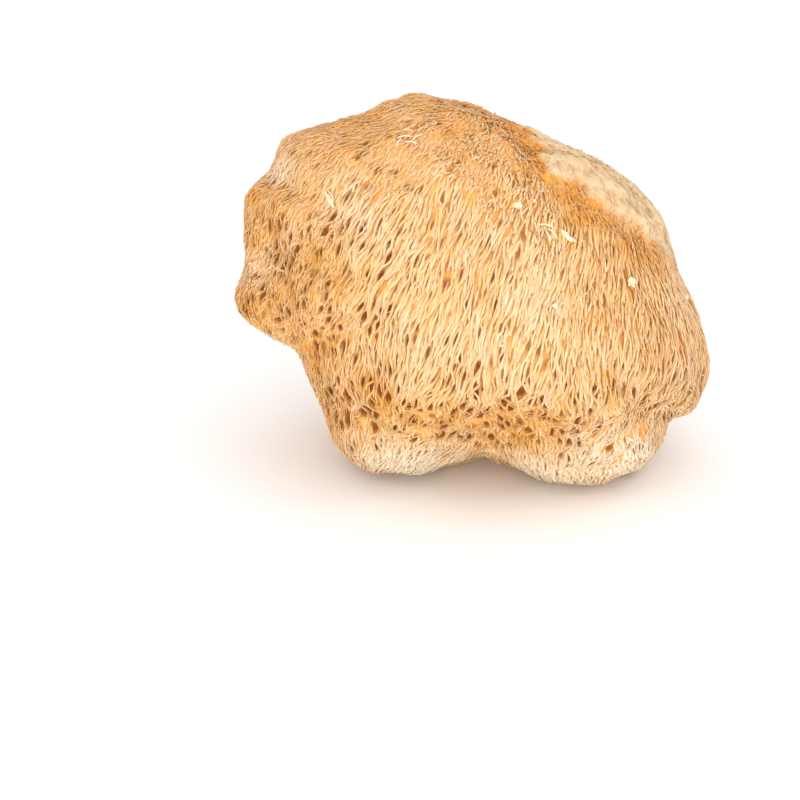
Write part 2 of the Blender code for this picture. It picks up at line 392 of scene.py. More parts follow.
def line_distance(places, line):
    """How far each place in the viewer's plane is from a line of points."""
    nearest = np.full(len(places), np.inf)
    for start, end in zip(line, line[1:]):
        start, along = np.array(start) * MM, (np.array(end) - np.array(start)) * MM
        share = np.clip((places - start) @ along / (along @ along), 0.0, 1.0)
        gap = np.linalg.norm(places - start - share[:, None] * along, axis=1)
        nearest = np.minimum(nearest, gap)
    return nearest


def body_points(ways):
    """Where a ray from the centre along each unit way leaves the body."""
    across, up, near = ways @ RIGHT, ways @ UPWARD, ways @ TO_VIEWER
    flat = np.hypot(across, up)
    facing = smoothstep(-DEPTH_BLEND, DEPTH_BLEND, near)
    depth = DEPTH_BEHIND + (DEPTH_TO_VIEWER - DEPTH_BEHIND) * facing
    outline = outline_reach(np.arctan2(up, across))
    reach = ((flat / outline) ** FULLNESS + (np.abs(near) / depth) ** FULLNESS) ** (-1 / FULLNESS)
    places = np.stack((across * reach, up * reach), axis=1)
    for line, fold_depth, half_width in FOLDS:
        gap = line_distance(places, line) / (half_width * MM)
        reach = reach - fold_depth * MM * np.exp(-gap * gap) * smoothstep(0.0, FOLDS_FADE, near)
    x, y, z = (ways * reach[:, None] / SWELL_LENGTH * math.tau).T
    reach = reach + SWELLS * np.sin(x + 0.6 * z) * np.sin(y + 1.0) * np.sin(0.8 * z + 0.5 * x)
    heel = angle_from(ways, HEEL_WAY) / HEEL_SPREAD
    reach = reach + HEEL_SWELL * np.exp(-heel * heel)
    felt = felt_share(CENTRE + ways * reach[:, None])
    reach = reach + FELT_THICKNESS * (1.0 - smoothstep(*FELT_RIM, felt))
    to_floor = CENTRE[2] / np.maximum(-ways[:, 2], 1e-6)
    return CENTRE + ways * np.minimum(reach, to_floor)[:, None]


def body_normals(ways):
    """Outward unit normals, from points a little to each side."""
    side = unit(np.cross(ways, np.where(np.abs(ways[:, 2:]) < 0.9, (0.0, 0.0, 1.0), RIGHT)))
    side_step, rise_step = NORMAL_STEP * side, NORMAL_STEP * np.cross(ways, side)
    across = body_points(unit(ways + side_step)) - body_points(unit(ways - side_step))
    along = body_points(unit(ways + rise_step)) - body_points(unit(ways - rise_step))
    normals = unit(np.cross(across, along))
    return normals * np.sign(np.sum(normals * ways, axis=1, keepdims=True))


def hang(points, normals):
    """The way in which spines lie at each point: away from HANG_FROM, and outward by the floor."""
    plumb = PLUMB * smoothstep(PLUMB_FROM, PLUMB_BELOW, points[:, 2:])
    away = unit(points - HANG_FROM - plumb * (0.0, 0.0, 1.0))
    outward = points * (1.0, 1.0, 0.0) / (np.linalg.norm(points[:, :2], axis=1, keepdims=True) + MM)
    splay = 1.0 - smoothstep(ALL_SPLAYED_BELOW, SPLAY_BELOW, points[:, 2:])
    way = away * (1.0 - splay) + outward * splay
    return unit(way - np.sum(way * normals, axis=1, keepdims=True) * normals)


def spiral_ways(count):
    """Unit ways spread evenly over a sphere on a spiral."""
    index = np.arange(count) + 0.5
    height = 1.0 - 2.0 * index / count
    turn = math.pi * (1.0 + math.sqrt(5.0)) * index
    level = np.sqrt(1.0 - height * height)
    return np.stack((level * np.cos(turn), level * np.sin(turn), height), axis=1)


def scattered_ways(count, seed):
    """Spiral ways moved at random, and thinned so that they are as dense all over the body."""
    draw = np.random.default_rng(seed)
    ways = spiral_ways(count)
    spacing = math.sqrt(4.0 * math.pi / count)
    ways = unit(ways + draw.normal(0.0, 0.35 * spacing, ways.shape))
    points, normals = body_points(ways), body_normals(ways)
    reach = np.linalg.norm(points - CENTRE, axis=1)
    area = reach ** 2 / np.maximum(np.sum(ways * normals, axis=1), 0.3)
    return ways[draw.uniform(0.0, 1.0, count) < area / np.quantile(area, 0.95)]


def ripple(points, length, seed, count=12):
    """A smooth random field, about 1 high, whose waves are about this long."""
    draw = np.random.default_rng(seed)
    ways = unit(draw.normal(size=(count, 3))) * draw.uniform(0.6, 1.5, (count, 1))
    phases = draw.uniform(0.0, math.tau, count)
    return np.sin(points @ ways.T * (math.tau / length) + phases).sum(axis=1) * math.sqrt(2.0 / count)


def view_places(points):
    """Where the camera sees each point, as a place in the plane of the body's centre.

    Gives how far the point faces the viewer too, from 0 to 1.
    """
    from_centre = points - CENTRE
    near = unit(from_centre) @ TO_VIEWER
    nearer = CAMERA_DISTANCE / (CAMERA_DISTANCE - from_centre @ TO_VIEWER)
    places = np.stack((from_centre @ RIGHT, from_centre @ UPWARD), axis=1) * nearer[:, None]
    return places, smoothstep(-0.15, 0.25, near)


def spot_cover(places, spot):
    """How strongly a soft spot covers each place in the view."""
    right, up, half_width, half_height, strength = spot
    offset = (places / MM - (right, up)) / (half_width, half_height)
    return strength * np.exp(-np.sum(offset ** 2, axis=1))


def spotted(points, spots):
    """How strongly the spots cover each point on the side that faces the viewer."""
    places, facing = view_places(points)
    cover = np.zeros(len(points))
    for spot in spots:
        cover = np.maximum(cover, spot_cover(places, spot))
    return cover * facing


def felt_share(points):
    """How far each point is from the felt's middle, where 1 is the felt's edge."""
    places, facing = view_places(points)
    right, up = places.T / MM
    ragged = RAGGED_EDGE * ripple(points, RAGGED_EDGE_LENGTH, FELT_EDGE_FIELD)
    beyond = up - np.interp(right, *zip(*SEEN_FELT_EDGE)) + ragged
    seen = 1.0 - beyond / FELT_SHARE_WIDTH
    round_middle = angle_from(unit(points - CENTRE), FELT_MIDDLE) / FELT_SPREAD
    return seen * facing + round_middle * (1.0 - facing)


def stain_and_shade(points):
    """The orange staining, with some painted shade: spots that the viewer sees, soft patches elsewhere,
    and the felt's rim. The spots low on the left lobe's edge are painted shade.
    """
    places, facing = view_places(points)
    patches = smoothstep(*STAIN_COMES_IN, ripple(points, STAIN_LENGTH, STAIN_FIELD))
    patches = patches * (1.0 - 0.6 * facing)
    felt = felt_share(points)
    far_right = facing * smoothstep(*RIM_FADES, places[:, 0])
    rim = np.exp(-((felt - RIM_MIDDLE) / RIM_WIDTH) ** 2) * (0.75 - 0.5 * far_right)
    stain_and_shade_share = np.clip(spotted(points, STAINED_AND_SHADED) + patches * 0.7 + rim, 0.0, 1.0)
    return stain_and_shade_share * smoothstep(*STAIN_FROM_FELT, felt)


def pale(points):
    """The pale patches: spots that the viewer sees, and faint soft patches elsewhere. The low spots
    along the bottom are also painted light on the underside.
    """
    _, facing = view_places(points)
    patches = smoothstep(*PALE_COMES_IN, ripple(points, PALE_LENGTH, PALE_FIELD))
    patches = patches * (1.0 - 0.85 * facing)
    return np.clip(spotted(points, PALE_AND_LIT_SPOTS) + patches * 0.3, 0.0, 1.0)


def tangled(points):
    """How disordered the spines are: along the lower tuck, and in a low band elsewhere."""
    places, facing = view_places(points)
    tuck = np.exp(-(line_distance(places, LOWER_TUCK) / TUCK_TANGLE_WIDTH) ** 2)
    lobe = np.exp(-(line_distance(places, LOBE_EDGE) / LOBE_TANGLE_WIDTH) ** 2)
    front = np.maximum(np.maximum(tuck * 0.9, spot_cover(places, CURLED)), lobe * 0.4)
    band = np.exp(-((points[:, 2] / MM - BAND_MIDDLE) / BAND_WIDTH) ** 2)
    band = band * smoothstep(*BAND_COMES_IN, ripple(points, BAND_LENGTH, BAND_FIELD))
    return front * facing + 0.7 * band * (1.0 - facing)


def matted(points):
    """Where the spines are short, fine and matted: along the top, on the left and near the felt."""
    places, facing = view_places(points)
    right, up = places.T / MM
    ragged_top = MAT_EDGE * ripple(points, MAT_EDGE_LENGTH, MAT_TOP_FIELD)
    ragged_left = MAT_EDGE * ripple(points, MAT_EDGE_LENGTH, MAT_LEFT_FIELD)
    high = smoothstep(*MATTED_ABOVE, up + ragged_top)
    left = smoothstep(*MATTED_TO_LEFT, right + ragged_left)
    patches = smoothstep(*MAT_COMES_IN, ripple(points, MAT_LENGTH, MAT_FIELD)) * (1.0 - facing)
    near_felt = 1.0 - smoothstep(*GROWN, felt_share(points))
    front = np.maximum(np.maximum(high, left), tangled(points)) * facing
    return np.maximum(np.maximum(front, patches), near_felt)


def end_on(points):
    """How far the spines stand out from the body, as they do on the left lobe."""
    places, facing = view_places(points)
    return spot_cover(places, END_ON) * smoothstep(0.0, 0.1, facing)


def ways_seen_at(places):
    """The ways to the body's points that the camera sees at places in millimetres."""
    ways = spiral_ways(WAYS_SEARCHED)
    ways = ways[ways @ TO_VIEWER > 0.05]
    points = body_points(ways)
    across, up = view_places(points + body_normals(ways) * CRUMB_HEIGHT)[0].T / MM
    return np.stack([ways[np.argmin((across - x) ** 2 + (up - y) ** 2)] for x, y in places])


def scattered_openings():
    """Openings all over: their middles, ways along the flow, and half widths and lengths."""
    draw = np.random.default_rng(SEED + 1)
    ways = scattered_ways(OPENINGS, SEED + 1)
    count = len(ways)
    points, normals = body_points(ways), body_normals(ways)
    places, facing = view_places(points)
    right, up = places.T / MM
    tangle, mat, felt, paleness = tangled(points), matted(points), felt_share(points), pale(points)
    coarse = smoothstep(*COARSE_TO_LEFT, right) * smoothstep(*COARSE_BELOW, up) * facing
    wider = END_ON_WIDENS * end_on(points) + MAT_WIDENS * mat + COARSE_WIDENS * coarse
    size = draw.uniform(*OPENING_SIZES, count)
    size += TANGLE_WIDENS * tangle * draw.uniform(0.0, 1.0, count)
    size += wider * draw.uniform(0.0, 1.0, count) ** 2
    stretch = draw.uniform(*OPENING_STRETCHES, count) * (1.0 - MAT_ROUNDS * mat) / np.sqrt(size)
    size *= NARROW_AT_FELT + (1.0 - NARROW_AT_FELT) * smoothstep(*WIDE_FROM_FELT, felt)
    size *= 1.0 - PALE_NARROWS * paleness
    top = FEWER_ON_TOP * smoothstep(*FEWER_ABOVE, up) * facing
    fewer = np.maximum(top, FEWER_WHERE_PALE * paleness)
    kept = (felt > OPEN_FROM_FELT) & (draw.uniform(0.0, 1.0, count) > fewer)
    half_width, half_length = OPENING_HALF_WIDTH * size, OPENING_HALF_LENGTH * size * stretch
    return [values[kept] for values in (points, hang(points, normals), half_width, half_length)]


def seen_openings():
    """The openings that stand out to the viewer, each in its own place."""
    seen = np.array(SEEN_OPENINGS)
    ways = ways_seen_at(seen[:, :2])
    points = body_points(ways)
    return points, hang(points, body_normals(ways)), seen[:, 2] * MM, seen[:, 3] * MM


def place_openings():
    """All the openings: middles, ways along and across the flow, half widths and lengths."""
    both = zip(scattered_openings(), seen_openings())
    points, lie, half_width, half_length = (np.concatenate(pair) for pair in both)
    side = np.cross(body_normals(unit(points - CENTRE)), lie)
    return points, lie, side, half_width, half_length


def opening_frame(points, openings):
    """The nearest opening to each point, and the point's place along and across it."""
    middles, lie, side, half_width, half_length = openings
    tree = KDTree(len(middles))
    for index, middle in enumerate(middles):
        tree.insert(middle, index)
    tree.balance()
    nearest = np.array([tree.find(point)[1] for point in points])
    gap = points - middles[nearest]
    forward = np.sum(gap * lie[nearest], axis=1) / half_length[nearest]
    across = np.sum(gap * side[nearest], axis=1)
    return nearest, side[nearest], half_width[nearest], forward, across


def part_round(paths, openings):
    """Moves the paths sideways out of openings. A path goes past each one on one side of it."""
    count, rings = paths.shape[:2]
    points = paths.reshape(-1, 3)
    nearest, side, half_width, forward, across = opening_frame(points, openings)
    nearness = np.exp(-forward ** 2)
    nearest = nearest.reshape(count, rings)
    shared = nearest[:, :, None] == nearest[:, None, :]
    lean = (shared * (across * nearness).reshape(count, 1, rings)).sum(axis=2).ravel()
    own_way = np.where(across < 0, -1.0, 1.0)
    way = np.where(np.abs(across) < half_width, np.where(lean < 0, -1.0, 1.0), own_way)
    kept = np.where(way == own_way, across, 0.0)
    moved = way * np.sqrt(kept ** 2 + half_width ** 2 * nearness)
    return (points + side * (moved - across)[:, None]).reshape(paths.shape)


def opening_shade_depth(points, openings, spread):
    """How deep each point is in the shade painted into an opening, which reaches this far past its edge.
    """
    _, _, half_width, forward, across = opening_frame(points, openings)
    reach = half_width + spread
    depth = smoothstep(*SHADED_WIDTHS, half_width)
    return np.exp(-(across / reach) ** 4 - (forward / SHADE_LENGTH) ** 4) * depth


def turned(lie, normals, angle):
    """Ways along the surface, turned about its normals by these angles."""
    return lie * np.cos(angle)[:, None] + np.cross(normals, lie) * np.sin(angle)[:, None]


def risen(share):
    """How far a strand has risen to its tip's height at each share of its length."""
    return 1.0 - (1.0 - share) ** RISE_POWER


def lay_strands(ways, length, height, stray, wave, weave, root_depth, rings, openings=None):
    """Lays strands along the body, from their roots to their tips. Returns paths and normals."""
    draw = np.random.default_rng(SEED + 2)
    count = len(ways)
    phase = draw.uniform(0.0, math.tau, count)
    bend = draw.normal(0.0, 1.0, count) * wave
    own_turn = draw.normal(0.0, 1.0, count) * stray
    paths, normals_along = [], []
    for ring in range(rings + 1):
        share = ring / rings
        points, normals = body_points(ways), body_normals(ways)
        lift = -root_depth + (height + root_depth) * risen(share)
        lift = lift + weave * np.sin(2.0 * phase + WEAVE_TURN * share) * math.sin(math.pi * share)
        paths.append(points + normals * lift[:, None])
        normals_along.append(normals)
        lie = hang(points, normals)
        wander = WANDER * ripple(points, WANDER_LENGTH, WANDER_FIELD)
        sway = SWAY * ripple(points, SWAY_LENGTH, SWAY_FIELD)
        tangle = TANGLE * tangled(points) * ripple(points, TANGLE_LENGTH, TANGLE_FIELD)
        curve = bend * np.sin(phase + WAVE_TURN * share)
        lie = turned(lie, normals, wander + sway + tangle + own_turn + curve)
        ways = unit(points + lie * (length / rings)[:, None] - CENTRE)
    paths, normals_along = np.stack(paths, axis=1), np.stack(normals_along, axis=1)
    if openings is not None:
        paths = part_round(paths, openings)
    paths[:, :, 2] = np.maximum(paths[:, :, 2], OFF_FLOOR)
    return paths, normals_along


def sweep(name, paths, normals, radius, taper, sides, values):
    """One object of closed tubes along the paths. values are numbers or arrays for each path."""
    count, rings = paths.shape[:2]
    along = unit(np.gradient(paths, axis=1))
    side = unit(np.cross(along, normals))
    rise = np.cross(side, along)
    flat_side_up = 0.25 * (sides == 3)
    turn = (np.arange(sides) + flat_side_up) * (math.tau / sides)
    ring_radius = radius[:, None] * np.array(taper)
    wide, thick = np.cos(turn)[:, None] / FLATNESS, np.sin(turn)[:, None] * FLATNESS
    offset = side[:, :, None, :] * wide + rise[:, :, None, :] * thick
    points = paths[:, :, None, :] + offset * ring_radius[:, :, None, None]
    points = points.reshape(count, rings * sides, 3)
    tips = paths[:, -1:, :] + along[:, -1:, :] * (ring_radius[:, -1, None, None] * TIP_RADII)
    points = np.concatenate((points, tips), axis=1)

    mesh = bpy.data.meshes.new(name)
    mesh.from_pydata(points.reshape(-1, 3).tolist(), [], tube_faces(count, rings, sides))
    mesh.shade_flat()
    for key, value in values.items():
        if value.ndim == 1:
            per_point = np.repeat(value, rings * sides + 1)
        else:
            per_ring = np.repeat(value, sides, axis=1)
            per_point = np.concatenate((per_ring, value[:, -1:]), axis=1).ravel()
        put_values(mesh, key, per_point)
    lay_out(mesh, count, rings, sides)
    return add_object(name, mesh)


def tube_faces(count, rings, sides):
    """The faces of the tubes: their sides, then their pointed tips, then their flat roots."""
    per_tube = rings * sides + 1
    here = np.arange(sides)
    ahead = (here + 1) % sides
    ring_starts = np.arange(rings - 1)[:, None] * sides
    low, low_next = (ring_starts + here).ravel(), (ring_starts + ahead).ravel()
    quads = np.stack((low, low_next, low_next + sides, low + sides), axis=1)
    last = (rings - 1) * sides
    caps = np.stack((last + here, last + ahead, np.full(sides, per_tube - 1)), axis=1)
    starts = np.arange(count)[:, None, None] * per_tube
    all_quads = (starts + quads).reshape(-1, 4)
    all_caps = (starts + caps).reshape(-1, 3)
    all_roots = (starts[:, 0] + here[::-1]).reshape(-1, sides)
    return all_quads.tolist() + all_caps.tolist() + all_roots.tolist()


def lay_out(mesh, count, rings, sides):
    """Gives each tube a strip of its own on the map, STRIP_SHAPE times as high as it is wide."""
    columns = math.ceil(math.sqrt(count * STRIP_SHAPE))
    rows = math.ceil(count / columns)
    strip = np.stack((np.arange(count) % columns, np.arange(count) // columns), axis=1)
    grid = np.meshgrid(np.arange(rings - 1), np.arange(sides), indexing="ij")
    ring, side = (part.ravel() for part in grid)
    corners = np.stack((
        np.stack((side, ring), axis=1), np.stack((side + 1, ring), axis=1),
        np.stack((side + 1, ring + 1), axis=1), np.stack((side, ring + 1), axis=1),
    ), axis=1).astype(float)
    side = np.arange(sides)
    top = rings - 1.0
    tips = np.stack((
        np.stack((side, np.full(sides, top)), axis=1),
        np.stack((side + 1, np.full(sides, top)), axis=1),
        np.stack((side + 0.5, np.full(sides, top + 0.8)), axis=1),
    ), axis=1)
    roots = np.stack((side[::-1], np.full(sides, 0.0)), axis=1)[None]
    inner = np.array(STRIP_FILL) / (sides, rings)
    size = 1.0 / np.array((columns, rows))

    def placed(part):
        flat = part.reshape(1, -1, 2) * inner + STRIP_MARGIN
        return ((strip[:, None, :] + flat) * size).reshape(-1, 2)

    uv = np.concatenate((placed(corners), placed(tips), placed(roots)))
    layer = mesh.uv_layers.new(name="OFBake")
    layer.uv.foreach_set("vector", uv.astype(np.float32).ravel())


def put_values(mesh, key, values):
    """Keeps a number on each point of the mesh, for the materials."""
    layer = mesh.attributes.new(key, "FLOAT", "POINT")
    layer.data.foreach_set("value", np.asarray(values, np.float32))


def add_object(name, data):
    thing = bpy.data.objects.new(name, data)
    bpy.context.collection.objects.link(thing)
    return thing


class Paint:
    """A material's node tree, with short ways to add nodes to it."""

    def __init__(self, name, roughness):
        self.material = bpy.data.materials.new(name)
        self.material.use_nodes = True
        self.tree = self.material.node_tree
        self.shader = self.tree.nodes["Principled BSDF"]
        self.shader.inputs["Roughness"].default_value = roughness
        self.shader.inputs["Metallic"].default_value = 0.0
        self.place = self.tree.nodes.new("ShaderNodeTexCoord").outputs["Object"]

    def feed(self, socket, value):
        if isinstance(value, bpy.types.NodeSocket):
            self.tree.links.new(value, socket)
        else:
            socket.default_value = value

    def attribute(self, name):
        node = self.tree.nodes.new("ShaderNodeAttribute")
        node.attribute_name = name
        return node.outputs["Fac"]

    def noise(self, size, detail=3.0):
        """Noise from 0 to 1 whose features are about size across, in millimetres."""
        node = self.tree.nodes.new("ShaderNodeTexNoise")
        node.inputs["Scale"].default_value = 1000.0 / size
        node.inputs["Detail"].default_value = detail
        self.tree.links.new(self.place, node.inputs["Vector"])
        return node.outputs["Fac"]

    def ramp(self, value, *stops):
        """Colours at stops along the value."""
        node = self.tree.nodes.new("ShaderNodeValToRGB")
        elements = node.color_ramp.elements
        for index, (place, colour) in enumerate(stops):
            element = elements[index] if index < 2 else elements.new(place)
            element.position = place
            element.color = (*colour, 1.0)
        self.feed(node.inputs["Fac"], value)
        return node.outputs["Color"]

    def span(self, value, low, high, to_low, to_high):
        """Turns the value, as it goes from low to high, into one from to_low to to_high."""
        node = self.tree.nodes.new("ShaderNodeMapRange")
        names = ("From Min", "From Max", "To Min", "To Max")
        for name, number in zip(names, (low, high, to_low, to_high)):
            node.inputs[name].default_value = number
        self.feed(node.inputs["Value"], value)
        return node.outputs["Result"]

    def product(self, first, second):
        """The two values multiplied, kept between 0 and 1."""
        node = self.tree.nodes.new("ShaderNodeMath")
        node.operation = "MULTIPLY"
        node.use_clamp = True
        self.feed(node.inputs[0], first)
        self.feed(node.inputs[1], second)
        return node.outputs[0]

    def mix(self, share, first, second):
        """The first colour, with this share of the second over it."""
        node = self.tree.nodes.new("ShaderNodeMix")
        node.data_type = "RGBA"
        self.feed(node.inputs["Factor"], share)
        colour_sockets = (node.inputs[6], node.inputs[7])
        for socket, value in zip(colour_sockets, (first, second)):
            self.feed(socket, (*value, 1.0) if isinstance(value, tuple) else value)
        return node.outputs[2]

    def bump(self, height, distance):
        """Bump of this distance in millimetres."""
        node = self.tree.nodes.new("ShaderNodeBump")
        node.inputs["Distance"].default_value = distance * MM
        node.inputs["Strength"].default_value = 1.0
        self.feed(node.inputs["Height"], height)
        self.tree.links.new(node.outputs["Normal"], self.shader.inputs["Normal"])

    def colour(self, value):
        self.feed(self.shader.inputs["Base Color"], value)

    def uneven_roughness(self, value, low, high):
        self.tree.links.new(self.span(value, 0.3, 0.7, low, high), self.shader.inputs["Roughness"])


# The colours of the spines; the root brown and low gold are painted shade on their roots and low-lying
# parts
GOLD = (0.90, 0.525, 0.20)
CREAM = (0.87, 0.58, 0.31)
PALE_CREAM = (0.99, 0.86, 0.62)
ORANGE = (0.76, 0.33, 0.05)
ROSE = (0.94, 0.57, 0.32)
ROOT_SHADE_BROWN = (0.87, 0.45, 0.14)
LOW_SHADE_GOLD = (0.90, 0.49, 0.17)
OLD_GOLD = (0.88, 0.48, 0.16)
BLOTCH_GOLD = (0.89, 0.43, 0.10)
SPECK_BROWN = (0.70, 0.42, 0.16)
MOTE_BROWN = (0.58, 0.21, 0.03)

# The colours of the flesh between them, of the painted shade in its openings, of the felt, of the cut
# foot and of the crumbs
GAP_ORANGE = (0.68, 0.33, 0.085)
GAP_GOLD = (0.80, 0.43, 0.13)
MEALY_GOLD = (0.84, 0.46, 0.15)
OPENING_SHADE_BROWN = (0.22, 0.055, 0.006)
FELT_CREAM = (0.73, 0.54, 0.335)
FELT_SHADE = (0.64, 0.42, 0.22)
FELT_LIGHT = (0.73, 0.58, 0.39)
FELT_CLOUD = (0.68, 0.46, 0.24)
FOOT_YELLOW = (0.86, 0.70, 0.36)
FOOT_BROWN = (0.62, 0.42, 0.16)
CRUMB_SHADE = (0.82, 0.57, 0.31)
CRUMB_CREAM = (0.88, 0.72, 0.47)


def spine_paint():
    """Painted shade: brown at the root and where spines lie low, cream to golden higher up, deep brown
    by the openings. With stains, some of them painted shade, and pale patches, some of them painted
    light.
    """
    paint = Paint("dried_spines", 0.72)
    stain_and_shade_share, own = paint.attribute("stain_and_shade"), paint.attribute("own")
    # Painted shade: brown at the roots and on low-lying spines, cream to golden on high ones
    body = paint.ramp(
        paint.attribute("high"), (0.0, ROOT_SHADE_BROWN), (0.3, LOW_SHADE_GOLD), (0.55, GOLD), (0.95, CREAM)
    )
    blotch = paint.noise(2.4)
    body = paint.mix(paint.span(blotch, 0.52, 0.72, 0.0, 0.55), body, BLOTCH_GOLD)
    body = paint.mix(paint.span(blotch, 0.46, 0.28, 0.0, 0.5), body, ROSE)
    body = paint.mix(paint.span(own, 0.6, 1.0, 0.0, 0.28), body, PALE_CREAM)
    body = paint.mix(paint.span(own, 0.3, 0.0, 0.0, 0.4), body, OLD_GOLD)
    rosy = paint.span(paint.noise(9.0, 2.0), 0.5, 0.75, 0.0, 0.6)
    body = paint.mix(rosy, body, ROSE)
    patch = paint.span(paint.noise(3.5), 0.36, 0.68, 0.3, 1.45)
    # Orange staining, partly painted shade low on the left lobe's edge
    body = paint.mix(paint.product(stain_and_shade_share, patch), body, ORANGE)
    # Pale patches, partly painted light on the underside
    body = paint.mix(paint.product(paint.attribute("pale"), 0.9), body, PALE_CREAM)
    speck = paint.span(paint.noise(0.5, 2.0), 0.4, 0.7, 0.0, 0.22)
    body = paint.mix(speck, body, SPECK_BROWN)
    mote = paint.span(paint.noise(0.9), 0.54, 0.66, 0.0, 0.75)
    body = paint.mix(paint.product(stain_and_shade_share, mote), body, MOTE_BROWN)
    glint = paint.span(paint.noise(0.4, 2.0), 0.55, 0.75, 0.0, 0.12)
    body = paint.mix(glint, body, PALE_CREAM)
    # Painted shade: the low parts of spines by the openings turn deep brown
    body = paint.mix(paint.product(paint.attribute("opening_shade"), 0.85), body, OPENING_SHADE_BROWN)
    paint.colour(body)
    fine = paint.noise(0.35)
    paint.uneven_roughness(fine, 0.6, 0.9)
    paint.bump(fine, 0.06)
    soften(paint)
    return paint.material


def soften(paint):
    """Lets light through the thin dry flesh."""
    paint.shader.inputs["Specular IOR Level"].default_value = 0.3
    paint.shader.inputs["Subsurface Weight"].default_value = 0.5
    paint.shader.inputs["Subsurface Radius"].default_value = (1.0, 1.0, 1.0)
    paint.shader.inputs["Subsurface Scale"].default_value = 0.7 * MM


def flesh_paint():
    """Brown between the spines, deep brown painted shade in the openings, cream felt on the shoulder and
    pale yellow on the cut foot.
    """
    paint = Paint("dried_flesh_surface", 0.85)
    paint.shader.inputs["Specular IOR Level"].default_value = 0.08
    # Orange staining, partly painted shade low on the left lobe's edge
    stain_and_shade_share = paint.attribute("stain_and_shade")
    gaps = paint.ramp(paint.noise(2.0), (0.3, GAP_ORANGE), (0.7, GAP_GOLD))
    gaps = paint.mix(paint.product(paint.attribute("matted"), 0.7), gaps, MEALY_GOLD)
    # Painted shade: the flesh turns deep brown in the openings
    gaps = paint.mix(paint.attribute("opening_shade"), gaps, OPENING_SHADE_BROWN)
    grain = paint.noise(0.9, 5.0)
    felt = paint.ramp(grain, (0.3, FELT_SHADE), (0.5, FELT_CREAM), (0.75, FELT_LIGHT))
    felt = paint.mix(paint.span(paint.noise(7.0), 0.45, 0.7, 0.0, 0.6), felt, FELT_CLOUD)
    patch = paint.span(grain, 0.3, 0.7, 0.6, 1.2)
    felt = paint.mix(paint.product(stain_and_shade_share, patch), felt, ORANGE)
    mote = paint.span(paint.noise(0.9), 0.5, 0.62, 0.0, 0.9)
    felt = paint.mix(paint.product(stain_and_shade_share, mote), felt, MOTE_BROWN)
    foot = paint.ramp(grain, (0.3, FOOT_BROWN), (0.5, FOOT_YELLOW), (0.8, PALE_CREAM))
    colour = paint.mix(paint.attribute("felt"), gaps, felt)
    colour = paint.mix(paint.attribute("foot"), colour, foot)
    paint.colour(colour)
    paint.uneven_roughness(grain, 0.75, 0.95)
    paint.bump(grain, 0.3)
    return paint.material


def crumb_paint():
    """Pale mealy flesh."""
    paint = Paint("loose_crumbs", 0.8)
    grain = paint.noise(0.6)
    paint.colour(paint.ramp(grain, (0.3, CRUMB_SHADE), (0.6, CRUMB_CREAM)))
    paint.uneven_roughness(grain, 0.7, 0.9)
    paint.bump(grain, 0.2)
    return paint.material


def finish_piece(piece, material):
    """Gives the piece its material, and its place as part of the fruit body."""
    piece.data.materials.append(material)
    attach(piece, "root")
    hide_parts("fruit_body")


def build_flesh(material, openings):
    """The closed skin of the body under the spines, with the felt and the cut foot on it."""
    ball = bmesh.new()
    bmesh.ops.create_icosphere(ball, subdivisions=FLESH_FINENESS, radius=1.0)
    mesh = bpy.data.meshes.new("flesh")
    ball.to_mesh(mesh)
    ball.free()
    ways = np.empty(len(mesh.vertices) * 3)
    mesh.vertices.foreach_get("co", ways)
    ways = unit(ways.reshape(-1, 3))
    points, normals = body_points(ways), body_normals(ways)
    felt = 1.0 - smoothstep(*FELT_FADE, felt_share(points))
    foot = 1.0 - smoothstep(*FOOT_FADE, points[:, 2])
    fine = ripple(points, FELT_GRAIN_LENGTH, FELT_GRAIN_FIELD, FELT_WAVES)
    broad = ripple(points, FELT_SWELL_LENGTH, FELT_SWELL_FIELD, FELT_WAVES)
    grain = FELT_GRAIN * (0.8 * fine + 0.5 * broad)
    under = FLESH_UNDER_SPINES - FLESH_RISES_WHERE_MATTED * matted(points)
    lift = felt * grain - (1.0 - felt) * (1.0 - foot) * under
    points = points + normals * lift[:, None]
    points[:, 2] = np.maximum(points[:, 2], 0.0)
    mesh.vertices.foreach_set("co", points.ravel())
    mesh.shade_smooth()
    put_values(mesh, "felt", felt)
    put_values(mesh, "foot", foot)
    put_values(mesh, "matted", matted(points))
    put_values(mesh, "stain_and_shade", stain_and_shade(points))
    # Painted shade in the openings
    put_values(mesh, "opening_shade", opening_shade_depth(points, openings, FLESH_SHADE_SPREADS))
    finish_piece(add_object("flesh", mesh), material)


